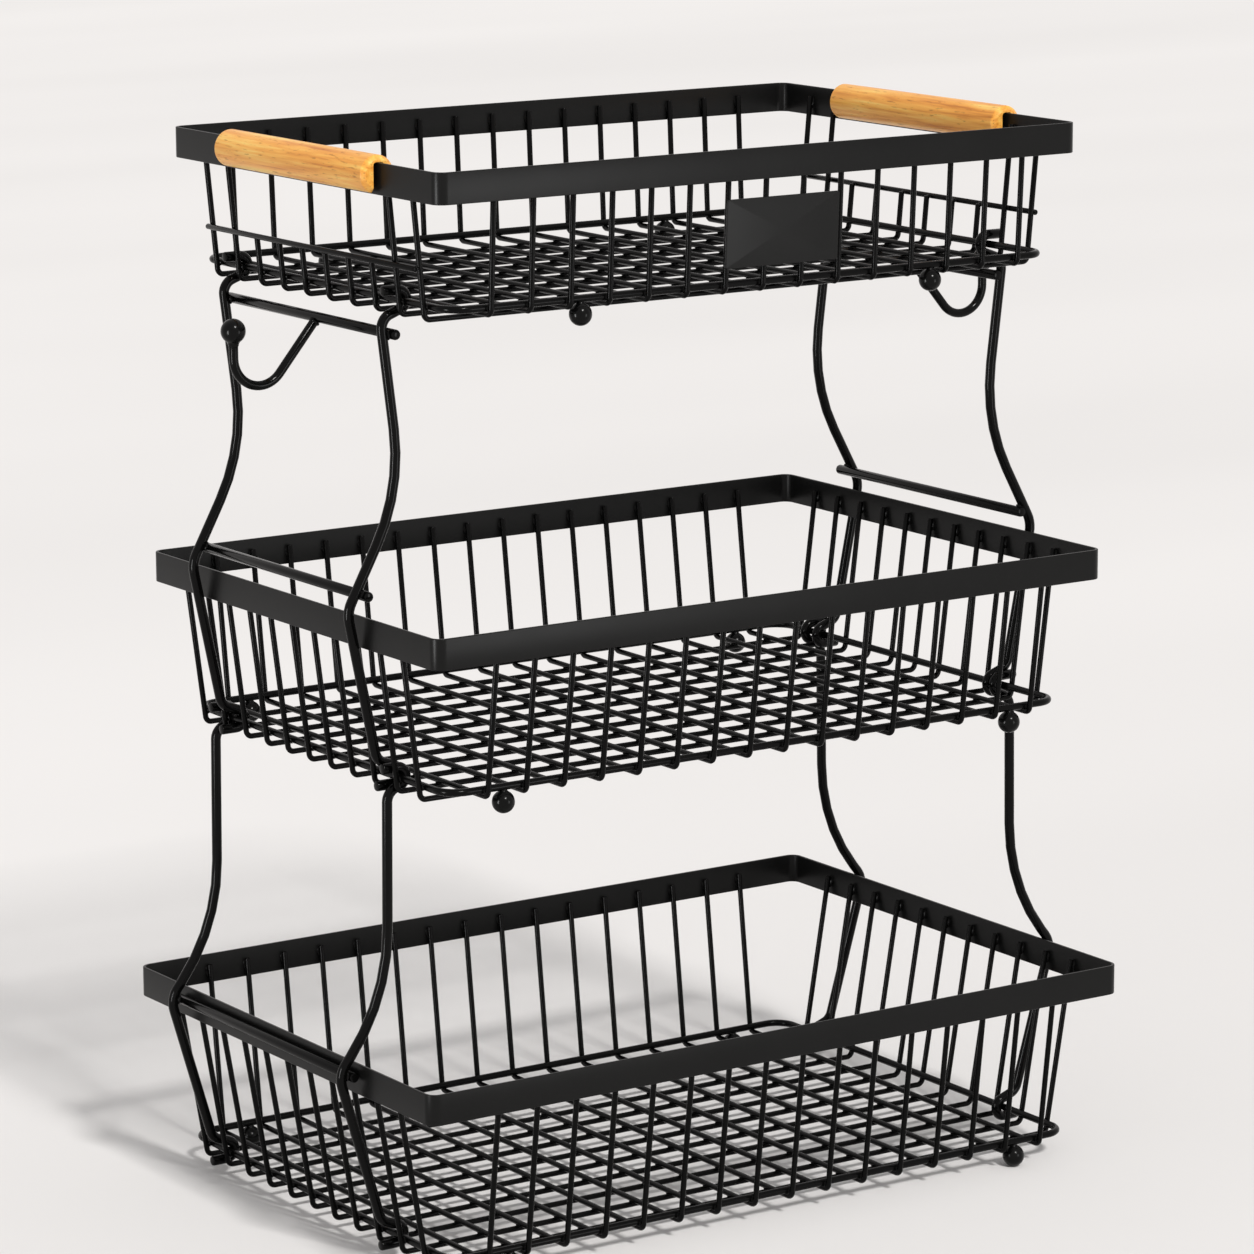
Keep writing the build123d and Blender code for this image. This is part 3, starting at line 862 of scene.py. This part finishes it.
# ---------------------------------------------------------------- banana hooks
# Under the top basket a J of 4.5 mm wire is welded to the middle of each top crossbar. It runs down and
# out, turns up, and ends in a 12 mm ball.
hook_wire = 4.5
hook_drop = 54.4  # from the crossbar to the corner that the bend rounds off
hook_bend = 14.0
hook_ball = 12.0
hook_neck = 2.5  # radius of the weld collar where the ball meets the wire
hook_bead = (1.5, 3.1, 2.9)  # half the depth, length and height of the weld at the crossbar
hook_bead_out = 0.2  # its middle, off the crossbar's skin

bar_x, bar_z = top_bar[0]
for hand, side in hands:
    low, high = measured(f"banana_hook_ball_{hand}")
    ball_middle = (low + high) / 2
    tip_x = side * ball_middle[0]
    corners = [(bar_x, bar_z), (tip_x, bar_z - hook_drop), (tip_x, ball_middle[2] - hook_ball / 2)]
    line = placed(bent_line(corners, [0, hook_bend, 0]), (0, 0, 0), (side, 0, 0), (0, 0, 1))
    hook = round_wire(line, hook_wire / 2, (0, -side, 0), frame_sides)
    course = unit(line[1] - line[0])
    root = line[0] + (frame_wire / 2 + hook_bead_out) * course
    joint = bead(hook_bead[0] * course, (0, hook_bead[1], 0), hook_bead[2] * np.cross(course, (0, 1, 0)))
    hook = hook + joint.repeated([root])
    piece(f"jhook_{hand}", hook, frame_paint, "frame_paint", f"banana_hook_{hand}")
    ball = welded_ball(hook_ball, hook_neck)
    ball.points = ball.points * (1, -1, -1) + ball_middle  # half a turn about X puts the collar below
    piece(f"jhook_ball_{hand}", ball, ball_paint, "ball_paint", f"banana_hook_ball_{hand}")

# ---------------------------------------------------------------- floor
# A wide matt floor in warm pale grey, on which the stand's lowest balls rest. Its tone drifts by a tenth
# either way in long faint streaks: painted light, standing for soft streaks of window light on the floor.
floor_reach = 60.0  # metres from its middle to each side
floor_squares = 8  # along each side
floor_grey = (0.80, 0.785, 0.782)
light_streak_depth = 0.1
light_streak_turn = (0.0, 0.0, 0.9)
light_streak_scale = (0.3, 1.1, 1.0)  # bumps to the metre along the streaks and across them

edges = np.linspace(-floor_reach, floor_reach, floor_squares + 1)
x, y = (axis.ravel() for axis in np.meshgrid(edges, edges))
row = floor_squares + 1
corner = (np.arange(floor_squares)[:, None] * row + np.arange(floor_squares)).ravel()
squares = np.stack([corner, corner + 1, corner + row + 1, corner + row], axis=1)
floor_mesh = bpy.data.meshes.new("floor")
floor_mesh.from_pydata(np.stack([x, y, 0 * x], axis=1).tolist(), [], squares.tolist())
floor = bpy.data.objects.new("floor", floor_mesh)
bpy.context.scene.collection.objects.link(floor)

material, start = blank_material("pale_floor")
place = start.node("ShaderNodeTexCoord", {}, {}, "Object")
# Painted light: the floor's grey is mixed from a shaded tone to a lit tone along long soft streaks, which
# stand for window light.
light_streak_place = start.node(
    "ShaderNodeMapping", {}, {"Vector": place, "Rotation": light_streak_turn, "Scale": light_streak_scale}
)
drift = noise(start, light_streak_place, 1.0, detail=2.0)
streak_shaded_grey = tuple((1 - light_streak_depth) * part for part in floor_grey)
streak_lit_grey = tuple((1 + light_streak_depth) * part for part in floor_grey)
surface = start.node(
    "ShaderNodeBsdfPrincipled",
    {},
    {"Base Color": between(start, drift, streak_shaded_grey, streak_lit_grey), "Roughness": 0.85, "Specular IOR Level": 0.0},
)
start.node("ShaderNodeOutputMaterial", {}, {"Surface": surface})
floor_mesh.materials.append(material)

# ---------------------------------------------------------------- light
# A soft sun from above the front, and an even sky, which the camera and the reflections see as a pale
# backdrop. Two tall panels show in reflections alone, as bright lines down the legs and rim corners.
sky_colour = (0.83, 0.80, 0.79)
sky_light = (1.0, 0.99, 0.98)
sky_strength = 0.57
sun_colour = (1.0, 0.985, 0.96)
sun_strength = 2.35
sun_spread = np.radians(9.0)  # width of the sun's disc, which softens its shadows
sun_tilt = np.radians(45.0)  # from straight overhead towards the front
sun_turn = np.radians(-2.0)  # round the stand, seen from above
panel_height = 0.55
panel_lift = 0.02  # its lower edge, above the floor
panels = (  # degrees round to the left from straight in front, distance, width, watts
    ("left_panel", 80.0, 1.3, 0.2, 8.0),
    ("right_panel", -20.0, 1.5, 0.3, 3.0),
)

world = bpy.data.worlds.new("studio")
bpy.context.scene.world = world
world.use_nodes = True
world.node_tree.nodes.clear()
start = Shade(world.node_tree)
rays = start.node("ShaderNodeLightPath", {}, {}).socket.node.outputs
camera_ray, glossy_ray, passing_ray = (
    Shade(start.tree, rays[name]) for name in ("Is Camera Ray", "Is Glossy Ray", "Is Transmission Ray")
)
backdrop = start.sum_of("MAXIMUM", start.sum_of("MAXIMUM", camera_ray, glossy_ray), passing_ray)
plain = start.node("ShaderNodeBackground", {}, {"Color": (*sky_colour, 1.0), "Strength": 1.0})
light = start.node("ShaderNodeBackground", {}, {"Color": (*sky_light, 1.0), "Strength": sky_strength})
mixed = start.node("ShaderNodeMixShader", {}, {0: backdrop, 1: light, 2: plain})
start.node("ShaderNodeOutputWorld", {}, {"Surface": mixed})

sun = bpy.data.lights.new("sun", "SUN")
sun.energy = sun_strength
sun.angle = sun_spread
sun.color = sun_colour
lamp = bpy.data.objects.new("sun", sun)
lamp.rotation_euler = (sun_tilt, 0.0, sun_turn)
bpy.context.scene.collection.objects.link(lamp)

for name, around, distance, width, watts in panels:
    panel = bpy.data.lights.new(name, "AREA")
    panel.shape = "RECTANGLE"
    panel.size = width
    panel.size_y = panel_height
    panel.energy = watts
    turn = np.radians(around)
    stand = bpy.data.objects.new(name, panel)
    middle_height = panel_height / 2 + panel_lift
    stand.location = (-distance * np.sin(turn), -distance * np.cos(turn), middle_height)
    stand.rotation_euler = (np.radians(90.0), 0.0, -turn)
    stand.visible_camera = False
    stand.visible_diffuse = False
    bpy.context.scene.collection.objects.link(stand)

# ---------------------------------------------------------------- camera
# A long lens, a little above the top basket, looks down at the near left corner. The place is in metres
# and the lens in millimetres.
camera_place = (-1.4218, -2.1295, 0.7993)
camera_lens = 150.11
camera_sensor = 36.0
camera_yaw = np.radians(33.732)
camera_pitch = np.radians(-11.56)
camera_roll = np.radians(-0.265)

forward = np.array(
    [
        np.sin(camera_yaw) * np.cos(camera_pitch),
        np.cos(camera_yaw) * np.cos(camera_pitch),
        np.sin(camera_pitch),
    ]
)
level = np.array([np.cos(camera_yaw), -np.sin(camera_yaw), 0.0])
above = np.cross(level, forward)
right = np.cos(camera_roll) * level + np.sin(camera_roll) * above
top = np.cos(camera_roll) * above - np.sin(camera_roll) * level
lens = bpy.data.cameras.new("camera")
lens.lens = camera_lens
lens.sensor_width = camera_sensor
turned = Matrix(np.stack([right, top, -forward], axis=1).tolist())
camera = bpy.data.objects.new("camera", lens)
camera.matrix_world = Matrix.Translation(camera_place) @ turned.to_4x4()
bpy.context.scene.collection.objects.link(camera)
bpy.context.scene.camera = camera
bpy.context.scene.view_settings.view_transform = "Standard"
